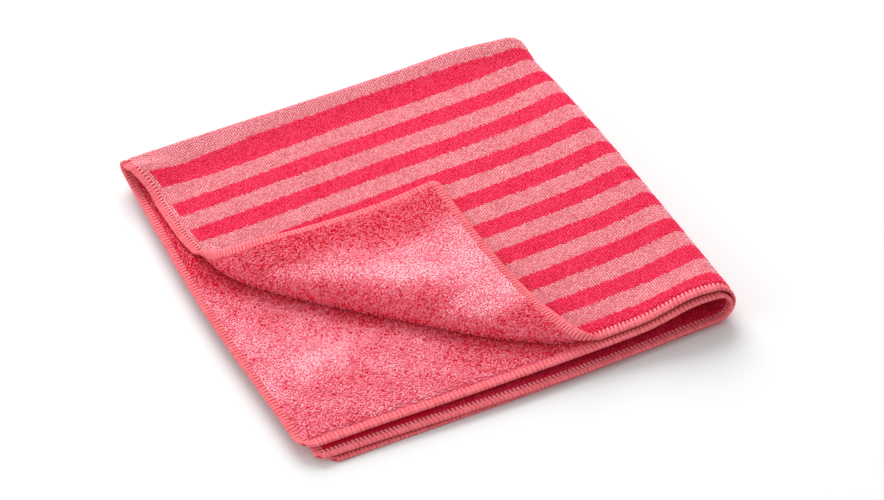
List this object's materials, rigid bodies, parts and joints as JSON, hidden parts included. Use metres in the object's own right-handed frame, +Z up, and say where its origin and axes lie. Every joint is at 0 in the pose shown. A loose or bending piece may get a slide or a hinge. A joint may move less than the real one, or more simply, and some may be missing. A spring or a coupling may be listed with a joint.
{
  "type": "folded microfibre cloth",
  "caption": "Square striped microfibre cleaning cloth folded flat, with a terry back, an overlocked hem and the top layer's loose corner turned back.",
  "frame": {"origin": "middle of the folded cloth's bounding box, on the surface it lies on", "axes": "+X along the stripes from the loose side hems to the second fold, +Y from the loose front hems to the first fold, +Z up"},
  "size_m": [0.2064, 0.2102, 0.0237],
  "materials": {
    "cloth": "matt short-pile knit, striped on one face and terry on the other"
  },
  "bodies": {
    "root": {"cloth": "cloth"}
  },
  "joints": []
}
